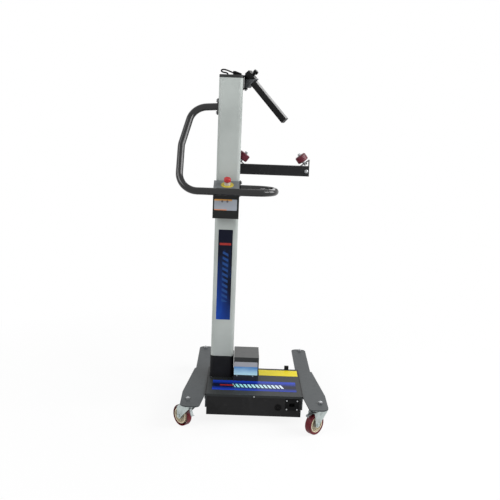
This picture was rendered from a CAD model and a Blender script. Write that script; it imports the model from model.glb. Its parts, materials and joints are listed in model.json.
import json
import math

import bpy
from mathutils import Matrix, Vector

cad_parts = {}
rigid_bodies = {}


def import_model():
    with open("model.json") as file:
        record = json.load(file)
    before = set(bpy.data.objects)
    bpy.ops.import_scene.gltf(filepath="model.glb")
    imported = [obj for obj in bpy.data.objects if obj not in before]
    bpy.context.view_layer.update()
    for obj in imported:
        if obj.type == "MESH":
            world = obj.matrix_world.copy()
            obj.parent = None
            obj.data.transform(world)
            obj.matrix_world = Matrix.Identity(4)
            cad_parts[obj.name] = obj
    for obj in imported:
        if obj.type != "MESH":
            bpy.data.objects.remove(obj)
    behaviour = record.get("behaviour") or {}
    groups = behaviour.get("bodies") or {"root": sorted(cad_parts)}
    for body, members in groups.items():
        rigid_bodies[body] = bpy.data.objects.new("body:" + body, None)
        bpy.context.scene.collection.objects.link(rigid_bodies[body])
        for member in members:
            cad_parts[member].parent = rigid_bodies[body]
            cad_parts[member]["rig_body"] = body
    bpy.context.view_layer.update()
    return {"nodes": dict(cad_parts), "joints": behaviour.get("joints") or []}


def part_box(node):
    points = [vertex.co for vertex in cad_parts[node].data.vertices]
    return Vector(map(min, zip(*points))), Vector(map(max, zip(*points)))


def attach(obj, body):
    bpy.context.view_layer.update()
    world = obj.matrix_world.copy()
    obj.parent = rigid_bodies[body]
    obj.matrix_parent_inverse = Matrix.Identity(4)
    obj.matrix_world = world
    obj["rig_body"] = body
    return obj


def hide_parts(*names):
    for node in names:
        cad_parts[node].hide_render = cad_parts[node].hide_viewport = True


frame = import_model()
nodes = frame["nodes"]
jointOf = {j["child"]: j for j in frame["joints"]}
print("frame loaded:", len(nodes), "nodes")


# the base's front middle in the shared frame, in mm
frameShift = (28, -311)


# camera, matched to the photo's edges
photoCamera = {
    "place": (-0.0605, -3.702, 1.452),
    "yaw": 0.72,
    "pitch": 10.36,
    "roll": 2.26,
    "lens": 54.99,
    "clipEnd": 60,
}


def addCamera(look):
    yaw, pitch, roll = (math.radians(look[k]) for k in ("yaw", "pitch", "roll"))
    ahead = Vector((math.sin(yaw) * math.cos(pitch), math.cos(yaw) * math.cos(pitch), -math.sin(pitch)))
    level = ahead.cross(Vector((0, 0, 1))).normalized()
    upright = level.cross(ahead)
    across = level * math.cos(roll) + upright * math.sin(roll)
    up = upright * math.cos(roll) - level * math.sin(roll)
    bpy.ops.object.camera_add()
    camera = bpy.context.object
    camera.matrix_world = Matrix((across, up, -ahead)).transposed().to_4x4()
    camera.location = look["place"]
    camera.data.lens = look["lens"]
    camera.data.clip_end = look["clipEnd"]
    bpy.context.scene.camera = camera


addCamera(photoCamera)


# shader sockets as Python values
class Wire:
    def __init__(self, tree, socket=None):
        self.tree = tree
        self.socket = socket

    def make(self, kind, settings, sockets, out=0):
        node = self.tree.nodes.new(kind)
        for key, value in settings.items():
            setattr(node, key, value)
        for key, value in sockets.items():
            if isinstance(value, Wire):
                self.tree.links.new(value.socket, node.inputs[key])
            else:
                node.inputs[key].default_value = value
        return Wire(self.tree, node.outputs[out])

    def maths(self, operation, first, second=0.0):
        return self.make("ShaderNodeMath", {"operation": operation}, {0: first, 1: second})

    def __add__(self, other):
        return self.maths("ADD", self, other)

    __radd__ = __add__

    def __sub__(self, other):
        return self.maths("SUBTRACT", self, other)

    def __rsub__(self, other):
        return self.maths("SUBTRACT", other, self)

    def __mul__(self, other):
        return self.maths("MULTIPLY", self, other)

    __rmul__ = __mul__

    def __truediv__(self, other):
        return self.maths("DIVIDE", self, other)

    def __rtruediv__(self, other):
        return self.maths("DIVIDE", other, self)

    def __gt__(self, other):
        return self.maths("GREATER_THAN", self, other)

    def __lt__(self, other):
        return self.maths("LESS_THAN", self, other)

    def ranged(self, low, high):
        return self.make("ShaderNodeMapRange", {"clamp": True}, {0: self, 1: low, 2: high, 3: 0.0, 4: 1.0})

    def tint(self, first, second):
        return self.make("ShaderNodeMix", {"data_type": "RGBA"}, {0: self, 6: first, 7: second}, out=2)


class Finish:
    def __init__(self, name):
        self.material = bpy.data.materials.new(name)
        self.material.use_nodes = True
        self.tree = self.material.node_tree
        self.shader = self.tree.nodes["Principled BSDF"]
        self.wire = Wire(self.tree)
        self.place = self.wire.make("ShaderNodeTexCoord", {}, {}, out="Object")

    def set(self, **values):
        for key, value in values.items():
            name = {"colour": "Base Color", "coat": "Coat Weight", "coatRoughness": "Coat Roughness",
                    "specular": "Specular IOR Level"}.get(key, key.capitalize())
            if isinstance(value, Wire):
                self.tree.links.new(value.socket, self.shader.inputs[name])
            else:
                self.shader.inputs[name].default_value = value

    def noise(self, scale, detail=3.0, stretch=None, roughness=0.5):
        place = self.place
        if stretch:
            place = self.wire.make("ShaderNodeMapping", {}, {"Vector": place, "Scale": stretch})
        return self.wire.make("ShaderNodeTexNoise", {},
                              {"Vector": place, "Scale": scale, "Detail": detail, "Roughness": roughness})

    def axis(self, name):
        return self.wire.make("ShaderNodeSeparateXYZ", {}, {0: self.place}, out=name)

    def edges(self, radius):
        rounded = self.wire.make("ShaderNodeBevel", {"samples": 4}, {"Radius": radius})
        true = self.wire.make("ShaderNodeNewGeometry", {}, {}, out="Normal")
        dot = self.wire.make("ShaderNodeVectorMath", {"operation": "DOT_PRODUCT"},
                             {0: rounded, 1: true}, out=1)
        return (1 - dot).ranged(0.02, 0.22)

    def bump(self, height, depth):
        normal = self.wire.make("ShaderNodeBump", {}, {"Height": height, "Distance": depth, "Strength": 1.0})
        self.set(normal=normal)


def rgb(red, green, blue):
    def linear(value):
        value /= 255
        return value / 12.92 if value <= 0.04045 else ((value + 0.055) / 1.055) ** 2.4
    return (linear(red), linear(green), linear(blue), 1)


def shade(colour, times, plus=0.0):
    return tuple(min(1, c * times + plus) for c in colour[:3]) + (1,)


# powder coat and enamel, with orange peel, broad tone, dust and rubbed edges
def paint(name, colour, rough, peel=0.00004, wear=0.5, coat=0.0, dusty=0.25, specular=0.5, edging=None):
    f = Finish(name)
    broad = f.noise(5.0, 4.0)
    fine = f.noise(900.0, 2.0)
    dust = f.noise(38.0, 6.0, roughness=0.65).ranged(0.52, 0.8)
    deep = shade(colour, 0.86)
    lifted = shade(colour, 1.12, 0.004)
    rubbed = shade(colour, 1.5, 0.05)
    dusted = shade(colour, 0.82, 0.035)
    tone = broad.ranged(0.3, 0.7).tint(deep, lifted)
    tone = (dust * dusty).tint(tone, dusted)
    scuff = f.edges(0.0016) * f.noise(120.0, 4.0).ranged(0.35, 0.7) * wear
    tone = scuff.tint(tone, rubbed)
    if edging:
        aside = f.wire.maths("ABSOLUTE", f.axis("X") - edging["middle"])
        tone = (aside > edging["half"]).tint(tone, edging["colour"])
    f.set(colour=tone)
    f.set(roughness=rough + broad * 0.08 + dust * 0.12, coat=coat, coatRoughness=0.12, specular=specular)
    f.bump(fine + broad * 0.5, peel)
    return f.material


# zinc plate with a fine grain and cloudy bloom
def zincPlate(name, colour, rough, grain=(1, 1, 12)):
    f = Finish(name)
    bloom = f.noise(45.0, 5.0)
    lines = f.noise(260.0, 3.0, stretch=grain)
    dull = shade(colour, 0.72)
    f.set(colour=bloom.ranged(0.35, 0.7).tint(dull, colour), metallic=0.85)
    f.set(roughness=rough + lines * 0.16 + bloom * 0.08)
    f.bump(lines, 0.00004)
    return f.material


# cast polyurethane: clear maroon, rubbed dull where it rolls
def polyurethane(name, colour, rough, coat=0.1):
    f = Finish(name)
    cloud = f.noise(30.0, 4.0)
    scuffs = f.noise(420.0, 5.0, roughness=0.7)
    dark = shade(colour, 0.62)
    grey = shade(colour, 0.75, 0.05)
    tone = cloud.ranged(0.3, 0.7).tint(dark, colour)
    f.set(colour=(scuffs.ranged(0.56, 0.75) * 0.35).tint(tone, grey))
    f.set(roughness=rough + scuffs * 0.22, coat=coat, coatRoughness=0.16, specular=0.2)
    f.bump(scuffs, 0.00006)
    return f.material


# moulded plastic with spark-eroded grain
def plastic(name, colour, rough, grain=0.00005, coat=0.0, specular=0.3):
    f = Finish(name)
    cells = f.noise(1500.0, 2.0)
    broad = f.noise(14.0, 4.0)
    pale = shade(colour, 1.25, 0.006)
    f.set(colour=broad.ranged(0.35, 0.75).tint(colour, pale))
    f.set(roughness=rough + cells * 0.1 + broad * 0.06, coat=coat, coatRoughness=0.08, specular=specular)
    f.bump(cells, grain)
    return f.material


# nylon wheel core with moulding flow and a little grime
def nylon(name, colour, rough):
    f = Finish(name)
    flow = f.noise(60.0, 4.0)
    grime = f.noise(150.0, 6.0, roughness=0.7).ranged(0.5, 0.72)
    dirty = shade(colour, 0.6)
    deep = shade(colour, 0.88)
    tone = flow.tint(deep, colour)
    f.set(colour=(grime * 0.45).tint(tone, dirty), roughness=rough + grime * 0.15)
    f.bump(flow, 0.00006)
    return f.material


# black band along the lid's sides: beyond this distance from its middle, in m
lidEdging = {"middle": frameShift[0] / 1000, "half": 0.224, "colour": rgb(10, 10, 11)}
finishes = {
    "frame": paint("frameGrey", rgb(58, 62, 64), 0.42, specular=0.25),
    "tray": paint("trayBlack", rgb(27, 27, 28), 0.46, specular=0.14),
    "lid": paint("lidGrey", rgb(34, 37, 38), 0.44, specular=0.2, edging=lidEdging),
    "column": paint("columnGrey", rgb(166, 172, 169), 0.36, wear=0.15, dusty=0.12),
    "handle": paint("handleGrey", rgb(13, 13, 14), 0.07, peel=0.00001, wear=0.25, dusty=0.1, specular=0.47),
    "arm": paint("armBlack", rgb(3, 3, 4), 0.26, specular=0.1),
    "gusset": paint("gussetGrey", rgb(78, 80, 83), 0.4, specular=0.2),
    "beam": paint("beamBlack", rgb(32, 32, 34), 0.46, specular=0.12),
    "bracket": paint("bracketGrey", rgb(84, 86, 88), 0.38, specular=0.3),
    "box": paint("boxBlack", rgb(22, 24, 24), 0.4, coat=0.05, specular=0.14),
    "cover": paint("coverBlack", rgb(36, 38, 38), 0.34, coat=0.15, specular=0.3),
    "sleeve": plastic("sleeveBlack", rgb(20, 21, 24), 0.5, specular=0.14),
    "cap": plastic("capBlack", rgb(34, 35, 35), 0.48),
    "pedal": zincPlate("pedalZinc", rgb(146, 152, 152), 0.36),
    "zinc": zincPlate("forkZinc", rgb(190, 200, 198), 0.3),
    "steel": zincPlate("boltSteel", rgb(178, 180, 182), 0.28, grain=(4, 4, 4)),
    "cast": zincPlate("castGrey", rgb(120, 122, 126), 0.48, grain=(1, 1, 1)),
    "tread": polyurethane("treadMaroon", rgb(104, 16, 28), 0.3),
    "roller": polyurethane("rollerMaroon", rgb(98, 16, 38), 0.26, coat=0.3),
    "core": nylon("coreCream", rgb(212, 200, 172), 0.45),
    "web": nylon("webGrey", rgb(172, 162, 138), 0.5),
    "pad": nylon("padIvory", rgb(212, 206, 190), 0.42),
    "black": plastic("knobBlack", rgb(6, 6, 7), 0.36, specular=0.08),
    "key": plastic("keyGrey", rgb(96, 92, 92), 0.4),
    "red": plastic("stopRed", rgb(170, 28, 32), 0.3, grain=0.00001, coat=0.3),
    "collar": plastic("collarGrey", rgb(196, 190, 182), 0.36),
    "yellow": plastic("stopYellow", rgb(184, 168, 62), 0.38, grain=0.00002),
    "rubber": plastic("bufferRubber", rgb(18, 18, 18), 0.62, grain=0.00012, specular=0.2),
    "belt": plastic("beltRubber", rgb(26, 26, 27), 0.6, grain=0.0001, specular=0.2),
}
finishOf = {
    "frame": ["left_front_leg", "right_front_leg", "left_rear_leg", "right_rear_leg"],
    "tray": ["base_tray"],
    "lid": ["base_lid"],
    "column": ["column"],
    "handle": ["handle"],
    "arm": ["arm_tube", "arm_hinge"],
    "gusset": ["arm_bracket"],
    "beam": ["beam", "carriage"],
    "bracket": ["roller_brackets"],
    "box": ["control_box"],
    "cover": ["motor_cover"],
    "sleeve": ["column_sleeve"],
    "cap": ["column_cap"],
    "zinc": ["caster_heads", "front_left_fork", "front_right_fork", "rear_left_fork", "rear_right_fork"],
    "pedal": ["front_left_pedal", "front_right_pedal"],
    "steel": ["frame_bolts", "cover_screws", "roller_bolts", "drive_pulley", "idler_pulley", "idler_bracket"],
    "cast": ["gear_motor", "controller"],
    "tread": ["front_left_tread", "front_right_tread", "rear_left_tread", "rear_right_tread"],
    "roller": ["left_roller", "right_roller"],
    "core": ["front_left_hub", "front_right_hub", "rear_left_hub", "rear_right_hub"],
    "pad": ["glide_pads"],
    "collar": ["stop_body"],
    "key": ["raise_button", "lower_button"],
    "black": ["batteries", "charge_inlet", "main_switch",
              "switch_rocker", "lock_block", "lock_knob", "lead_plug"],
    "red": ["stop_head"],
    "yellow": ["stop_ring"],
    "rubber": ["beam_buffer", "signal_lead"],
    "belt": ["lift_belt"],
}
nodeFinish = {}
for finish, names in finishOf.items():
    for name in names:
        nodeFinish[name] = finishes[finish]
        slots = nodes[name].data.materials
        slots.clear()
        slots.append(finishes[finish])
print("finishes:", len(finishes))


# edit helpers
def pick(piece):
    bpy.ops.object.select_all(action="DESELECT")
    piece.select_set(True)
    bpy.context.view_layer.objects.active = piece


def bake(piece, kind, **settings):
    modifier = piece.modifiers.new(kind.lower(), kind)
    for key, value in settings.items():
        setattr(modifier, key, value)
    pick(piece)
    bpy.ops.object.modifier_apply(modifier=modifier.name)


def settle(piece, name, body, finish, smooth=35):
    pick(piece)
    bpy.ops.object.transform_apply(location=True, rotation=True, scale=True)
    bpy.ops.object.shade_smooth_by_angle(angle=math.radians(smooth))
    bake(piece, "WEIGHTED_NORMAL", keep_sharp=True)
    piece.name = name
    piece.data.name = name
    piece.data.materials.clear()
    piece.data.materials.append(finish)
    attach(piece, body)


# merge distance in m, angles in degrees
edgeWork = {"merge": 0.00001, "flat": 0.4, "angle": 34}
# CAD pieces with their edges broken: node, edge in mm; 0 smooths the piece alone
brokenEdges = {
    "base_tray": 0.9, "base_lid": 0.9, "left_front_leg": 1.2, "right_front_leg": 1.2,
    "left_rear_leg": 1.2, "right_rear_leg": 1.2, "column": 0.5, "column_sleeve": 0.6, "column_cap": 2.0,
    "handle": 0.0, "control_box": 1.0, "motor_cover": 0.9, "beam": 1.0, "arm_tube": 1.4, "arm_bracket": 0.8,
    "arm_hinge": 0.8, "lock_block": 1.5, "front_left_fork": 0.9, "front_right_fork": 0.9,
    "rear_left_fork": 0.9, "rear_right_fork": 0.9, "front_left_pedal": 0.8, "front_right_pedal": 0.8,
    "carriage": 0.8, "roller_brackets": 0.8, "charge_inlet": 0.8, "main_switch": 0.8, "beam_buffer": 1.6,
    "lead_plug": 1.4, "gear_motor": 1.5, "batteries": 1.5, "controller": 0.6, "glide_pads": 0.6,
    "caster_heads": 0.8, "frame_bolts": 0.5, "cover_screws": 0.4, "roller_bolts": 0.6, "stop_ring": 0.4,
    "stop_body": 0.8, "drive_pulley": 0.5, "idler_pulley": 0.5, "idler_bracket": 0.6, "switch_rocker": 0.6,
    "raise_button": 0.6, "lower_button": 0.6, "lift_belt": 0.0,
}


def pieceName(node):
    first, *rest = node.split("_")
    return first + "".join(word.capitalize() for word in rest)


def breakEdges(node, edge):
    pick(nodes[node])
    bpy.ops.object.duplicate()
    piece = bpy.context.object
    for key in list(piece.keys()):
        del piece[key]
    bpy.ops.mesh.customdata_custom_splitnormals_clear()
    bpy.ops.object.mode_set(mode="EDIT")
    bpy.ops.mesh.select_all(action="SELECT")
    bpy.ops.mesh.remove_doubles(threshold=edgeWork["merge"])
    bpy.ops.mesh.dissolve_limited(angle_limit=math.radians(edgeWork["flat"]))
    bpy.ops.object.mode_set(mode="OBJECT")
    if edge:
        bake(piece, "BEVEL", width=edge / 1000, segments=2, limit_method="ANGLE",
             angle_limit=math.radians(edgeWork["angle"]), miter_outer="MITER_ARC")
    body = nodes[node]["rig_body"]
    settle(piece, pieceName(node), body, nodeFinish[node])
    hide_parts(node)


for node, edge in brokenEdges.items():
    breakEdges(node, edge)
print("edges broken on", len(brokenEdges), "pieces")


# turned pieces: a cylinder whose ends are inset and pushed in or out, step by step, then bored through
def turned(radius, depth, steps, sides=96):
    bpy.ops.object.select_all(action="DESELECT")
    bpy.ops.mesh.primitive_cylinder_add(vertices=sides, radius=radius, depth=depth)
    piece = bpy.context.object
    mesh = piece.data
    for end in (1, -1):
        for face in mesh.polygons:
            face.select = face.normal.z * end > 0.9 and face.center.z * end > depth / 2 - 0.0001
        bpy.ops.object.mode_set(mode="EDIT")
        bpy.ops.mesh.select_mode(type="FACE")
        for inset, push in steps:
            bpy.ops.mesh.inset(thickness=inset)
            if push:
                bpy.ops.mesh.extrude_region_move(TRANSFORM_OT_translate={"value": (0, 0, push * end)})
        bpy.ops.object.mode_set(mode="OBJECT")
    for face in mesh.polygons:
        face.select = abs(face.normal.z) > 0.9 and len(face.vertices) == sides
    bpy.ops.object.mode_set(mode="EDIT")
    bpy.ops.mesh.bridge_edge_loops()
    bpy.ops.object.mode_set(mode="OBJECT")
    return piece


def roundRim(piece, radius, depth, offset, segments=5):
    mesh = piece.data
    pick(piece)
    for edge in mesh.edges:
        ends = [mesh.vertices[i].co for i in edge.vertices]
        edge.select = all(abs(abs(c.z) - depth / 2) < 0.0001 and c.xy.length > radius - 0.0005 for c in ends)
    bpy.ops.object.mode_set(mode="EDIT")
    bpy.ops.mesh.select_mode(type="EDGE")
    bpy.ops.mesh.bevel(offset=offset, segments=segments, affect="EDGES")
    bpy.ops.object.mode_set(mode="OBJECT")


def groove(piece, halfWidth, deep):
    pick(piece)
    bpy.ops.object.mode_set(mode="EDIT")
    for height in (halfWidth, -halfWidth):
        bpy.ops.mesh.select_all(action="SELECT")
        bpy.ops.mesh.bisect(plane_co=(0, 0, height), plane_no=(0, 0, 1))
    bpy.ops.object.mode_set(mode="OBJECT")
    outer = max(v.co.xy.length for v in piece.data.vertices)
    for face in piece.data.polygons:
        face.select = abs(face.center.z) < halfWidth and face.center.xy.length > outer * 0.97
    bpy.ops.object.mode_set(mode="EDIT")
    bpy.ops.mesh.select_mode(type="FACE")
    bpy.ops.mesh.extrude_region_shrink_fatten(TRANSFORM_OT_shrink_fatten={"value": -deep})
    bpy.ops.object.mode_set(mode="OBJECT")


def setOnJoint(piece, body):
    joint = jointOf[body]
    turn = Vector((0, 0, 1)).rotation_difference(Vector(joint["axis"]))
    piece.matrix_world = Matrix.Translation(joint["pos_m"]) @ turn.to_matrix().to_4x4()


def softEdges(piece, width):
    bake(piece, "BEVEL", width=width, segments=2, limit_method="ANGLE", angle_limit=math.radians(40))


casterWheel = {
    "radius": 0.05, "width": 0.032, "corner": 0.005, "seam": 0.0006, "seamDepth": 0.0004,
    "core": 0.038, "rim": 0.03, "lip": 0.005, "dishRise": 0.003, "coreStep": 0.004, "coreEdge": 0.0008,
    "web": 0.012, "webSkin": 0.0008, "webStep": 0.0035, "webEdge": 0.0006,
    "bearing": 0.0142, "boss": 0.033, "bore": 0.0041,
    "race": 0.0045, "raceDepth": 0.0012, "bearingEdge": 0.0004,
}


def addCasterWheel(corner, plan):
    body = corner + "_wheel"
    tread = turned(plan["radius"], plan["width"], [(plan["radius"] - plan["core"], 0)])
    roundRim(tread, plan["radius"], plan["width"], plan["corner"])
    groove(tread, plan["seam"], plan["seamDepth"])
    setOnJoint(tread, body)
    settle(tread, pieceName(corner) + "Tread", body, finishes["tread"])
    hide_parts(corner + "_tread")

    recess = (plan["rim"] - plan["web"]) / 2
    dish = plan["core"] - plan["lip"] - plan["bearing"] - plan["coreStep"]
    core = turned(plan["core"], plan["rim"],
                  [(plan["lip"], -recess), (dish, plan["dishRise"]), (plan["coreStep"], 0)])
    softEdges(core, plan["coreEdge"])
    setOnJoint(core, body)
    settle(core, pieceName(corner) + "Core", body, finishes["core"])
    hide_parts(corner + "_hub")

    web = turned(plan["core"] - plan["lip"], plan["web"] + plan["webSkin"],
                 [(dish, plan["dishRise"]), (plan["webStep"], 0)])
    softEdges(web, plan["webEdge"])
    setOnJoint(web, body)
    settle(web, pieceName(corner) + "Web", body, finishes["web"])

    seat = plan["bearing"] - plan["race"] - plan["bore"]
    bearing = turned(plan["bearing"], plan["boss"],
                     [(plan["race"], -plan["raceDepth"]), (seat * 0.4, plan["raceDepth"]), (seat * 0.6, 0)])
    softEdges(bearing, plan["bearingEdge"])
    setOnJoint(bearing, body)
    settle(bearing, pieceName(corner) + "Bearing", body, finishes["steel"])


for corner in ("front_left", "front_right", "rear_left", "rear_right"):
    addCasterWheel(corner, casterWheel)


cradleRoller = {
    "radius": 0.0275, "width": 0.034, "corner": 0.0055,
    "bush": 0.0095, "hole": 0.00505, "bushProud": 0.0006, "bushEdge": 0.0003,
}


def addCradleRoller(body, plan):
    wall = plan["bush"] - plan["hole"]
    roller = turned(plan["radius"], plan["width"], [(plan["radius"] - plan["bush"], 0)])
    roundRim(roller, plan["radius"], plan["width"], plan["corner"])
    setOnJoint(roller, body)
    settle(roller, pieceName(body) + "Tyre", body, finishes["roller"])
    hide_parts(body)
    bush = turned(plan["bush"], plan["width"] + plan["bushProud"], [(wall, 0)])
    softEdges(bush, plan["bushEdge"])
    setOnJoint(bush, body)
    settle(bush, pieceName(body) + "Bush", body, finishes["steel"])


for body in ("left_roller", "right_roller"):
    addCradleRoller(body, cradleRoller)
print("wheels and rollers turned")


# printed panels: plain colour fields on the column, lid, cover and control box
def panelFinish(name, box, draw, rough=0.32):
    f = Finish(name)
    low, high = box
    u = (f.axis("X") - low[0]) / (high[0] - low[0])
    tall = 2 if high[2] - low[2] > high[1] - low[1] else 1
    v = (f.axis("XYZ"[tall]) - low[tall]) / (high[tall] - low[tall])
    grain = f.noise(1200.0, 2.0)
    f.set(colour=draw(f, u, v), roughness=rough + grain * 0.1, specular=0.12)
    f.bump(grain, 0.00002)
    return f.material


def slantedBars(f, u, v, count, lean, share):
    run = f.wire.maths("FRACT", (u + v * lean) * count)
    return run < share


def columnField(f, u, v):
    sweep = (u * 0.5 + v).ranged(0.05, 0.75)
    ground = sweep.tint(rgb(22, 66, 158), rgb(8, 12, 30))
    glow = f.noise(26.0, 3.0, stretch=(1, 1, 0.3)).ranged(0.5, 0.75) * (v < 0.78)
    ground = (glow * 0.3).tint(ground, rgb(34, 92, 178))
    bars = slantedBars(f, v, u, 17.0, 0.08, 0.5) * (v > 0.2) * (v < 0.76) * (u > 0.34) * (u < 0.74)
    ground = bars.tint(ground, rgb(34, 68, 126))
    return ((v > 0.83) * (v < 0.855) * (u > 0.1) * (u < 0.9)).tint(ground, rgb(150, 48, 44))


def lidField(f, u, v):
    mid = f.wire.maths("ABSOLUTE", v - 0.5 + u * 0.08).ranged(0.12, 0.46)
    ground = mid.tint(rgb(6, 12, 40), rgb(26, 60, 178))
    block = (u + v * 0.1 > 0.3) * (u + v * 0.1 < 0.9) * (v > 0.3) * (v < 0.64)
    bars = slantedBars(f, u, v, 21.0, 0.1, 0.62) * block
    ground = bars.tint(ground, u.ranged(0.3, 0.85).tint(rgb(150, 226, 226), rgb(226, 236, 250)))
    return ((u > 0.09) * (u < 0.26) * (v > 0.44) * (v < 0.56)).tint(ground, rgb(150, 36, 40))


def coverField(f, u, v):
    wave = f.noise(16.0, 2.0, stretch=(1, 1, 3))
    water = (v + wave * 0.3).ranged(0.2, 0.75).tint(rgb(204, 246, 255), rgb(94, 146, 204))
    return (v > 0.64).tint(water, rgb(170, 170, 176))


def boxField(f, u, v):
    ground = f.noise(9.0, 2.0).tint(rgb(150, 156, 166), rgb(166, 171, 180))
    top = ((v > 0.86) * (u < 0.78)).tint(ground, rgb(206, 150, 84))
    return ((v < 0.1) * (u < 0.55)).tint(top, rgb(206, 138, 104))


def topField(f, u, v):
    return f.noise(12.0, 3.0).tint(rgb(100, 104, 106), rgb(112, 116, 118))


def stripField(f, u, v):
    return f.noise(7.0, 3.0).tint(rgb(220, 200, 5), rgb(234, 216, 12))


def addPanel(name, body, centre, across, along, normal, finish, thick=0.0004, corner=0.003):
    normal, up = Vector(normal), Vector(along[0])
    right = up.cross(normal)
    bpy.ops.object.select_all(action="DESELECT")
    bpy.ops.mesh.primitive_plane_add(size=1)
    piece = bpy.context.object
    piece.scale = (across, along[1], 1)
    bpy.ops.object.transform_apply(scale=True)
    bpy.ops.object.mode_set(mode="EDIT")
    bpy.ops.mesh.bevel(offset=corner, segments=5, affect="VERTICES")
    bpy.ops.mesh.select_all(action="SELECT")
    bpy.ops.mesh.extrude_region_move(TRANSFORM_OT_translate={"value": (0, 0, thick)})
    bpy.ops.mesh.select_all(action="SELECT")
    bpy.ops.mesh.normals_make_consistent(inside=False)
    bpy.ops.object.mode_set(mode="OBJECT")
    piece.matrix_world = Matrix.Translation(centre) @ Matrix((right, up, normal)).transposed().to_4x4()
    settle(piece, name, body, finish)


def machine(x, y, z):
    return Vector(((x + frameShift[0]) / 1000, (y + frameShift[1]) / 1000, z / 1000))


# name, low and high corner in mm from the base's front middle, drawing
panels = [
    ("columnBand", (-197, 233.5, 438), (-128, 233.5, 884), columnField),
    ("lidBand", (-200, 57, 143), (203, 186, 143), lidField),
    ("lidStrip", (27, 274, 143), (222, 358, 143), stripField),
    ("coverBand", (-99, 191, 172), (16, 191, 238), coverField),
    ("boxBand", (-219, 150, 988), (-113, 150, 1040), boxField),
    ("boxTop", (-225, 150.6, 1088.2), (-105, 232.5, 1118.6), topField),
]
for name, low, high, draw in panels:
    box = (machine(*low), machine(*high))
    size = box[1] - box[0]
    rise = Vector((0, size.y, size.z))
    up = rise.normalized()
    face = Vector((1, 0, 0)).cross(up)
    finish = panelFinish(name, box, draw)
    addPanel(name, "trolley", (box[0] + box[1]) / 2, size.x, (up, rise.length), face, finish)
print("panels:", len(panels))


# short lead on the cap, the route as in the CAD model
capLead = {
    "points": [(-179, 0), (-182.5, 7), (-190, 11), (-199, 13.5), (-206.5, 18.5), (-209, 27), (-205, 34.5),
               (-197, 37), (-187, 34), (-176, 27.5), (-165, 20), (-154.5, 13)],
    "depth": 296,
    "stub": 4,
    "lean": 60,
    "radius": 0.0035,
    "around": 6,
    "steps": 8,
}


def addLead(plan):
    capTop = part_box("column_cap")[1].z * 1000
    curve = bpy.data.curves.new("capLead", "CURVE")
    curve.dimensions = "3D"
    curve.bevel_depth = plan["radius"]
    curve.bevel_resolution = plan["around"]
    curve.use_fill_caps = True
    lean = math.radians(plan["lean"])
    route = [machine(x, plan["depth"] - v * math.sin(lean), capTop + plan["stub"] + v * math.cos(lean))
             for x, v in plan["points"]]
    route.insert(0, machine(plan["points"][0][0], plan["depth"], capTop))
    spline = curve.splines.new("BEZIER")
    spline.bezier_points.add(len(route) - 1)
    for knot, point in zip(spline.bezier_points, route):
        knot.co = point
        knot.handle_left_type = knot.handle_right_type = "AUTO"
    spline.resolution_u = plan["steps"]
    lead = bpy.data.objects.new("capLead", curve)
    bpy.context.collection.objects.link(lead)
    pick(lead)
    bpy.ops.object.convert(target="MESH")
    lead = bpy.context.object
    settle(lead, "capLead", "trolley", finishes["rubber"], smooth=60)
    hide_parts("signal_lead")


addLead(capLead)
print("lead laid")


# studio
studio = {
    "floor": 40.0,
    "floorColour": (0.9, 0.9, 0.9, 1),
    "showWhite": 0.88,
    "fade": (0.7, 2.0),
    "worldLight": 0.4,
    "lamps": [
        # place, aimed at, width, height, watts
        ((-3.0, -3.0, 2.9), (0, 0, 0.8), 2.2, 2.2, 66),
        ((2.6, -1.75, 2.8), (0, 0, 0.9), 1.3, 1.8, 50),
        ((3.0, -0.2, 2.3), (0, 0, 1.1), 1.6, 2.0, 60),
        ((-2.7, -1.0, 2.9), (0, 0, 1.1), 0.5, 1.9, 14),
        ((1.4, 2.9, 3.2), (0, 0, 1.2), 1.2, 1.2, 24),
    ],
}


def seenDirectly(wire):
    path = wire.make("ShaderNodeLightPath", {}, {}, out="Is Camera Ray")
    source = path.socket.node
    glossy = Wire(wire.tree, source.outputs["Is Glossy Ray"])
    through = Wire(wire.tree, source.outputs["Is Transmission Ray"])
    return path.maths("MAXIMUM", path, path.maths("MAXIMUM", glossy, through))


def addStudio(plan):
    bpy.ops.mesh.primitive_plane_add(size=plan["floor"])
    floor = bpy.context.object
    floor.name = "studioFloor"
    material = bpy.data.materials.new("studioFloor")
    material.use_nodes = True
    tree = material.node_tree
    tree.nodes.remove(tree.nodes["Principled BSDF"])
    wire = Wire(tree)
    matt = wire.make("ShaderNodeBsdfDiffuse", {}, {"Color": plan["floorColour"]})
    glow = wire.make("ShaderNodeEmission", {}, {"Strength": 1.0})
    place = wire.make("ShaderNodeTexCoord", {}, {}, out="Object")
    far = wire.make("ShaderNodeVectorMath", {"operation": "LENGTH"}, {0: place}, out=1)
    reach = far.ranged(*plan["fade"])
    share = seenDirectly(wire) * (reach * (1 - plan["showWhite"]) + plan["showWhite"])
    mixed = wire.make("ShaderNodeMixShader", {}, {0: share, 1: matt, 2: glow})
    tree.links.new(mixed.socket, tree.nodes["Material Output"].inputs["Surface"])
    floor.data.materials.append(material)

    world = bpy.data.worlds.new("studioWorld")
    bpy.context.scene.world = world
    world.use_nodes = True
    sky = world.node_tree
    wire = Wire(sky)
    back = sky.nodes["Background"]
    level = seenDirectly(wire).ranged(0, 1) * (1 - plan["worldLight"]) + plan["worldLight"]
    back.inputs["Color"].default_value = (1, 1, 1, 1)
    sky.links.new(level.socket, back.inputs["Strength"])

    for place, aim, width, height, watts in plan["lamps"]:
        bpy.ops.object.light_add(type="AREA", location=place)
        lamp = bpy.context.object
        lamp.data.shape = "RECTANGLE"
        lamp.data.size = width
        lamp.data.size_y = height
        lamp.data.energy = watts
        lamp.rotation_euler = (Vector(aim) - Vector(place)).to_track_quat("-Z", "Y").to_euler()


addStudio(studio)
bpy.context.scene.view_settings.view_transform = "Standard"
print("studio ready")
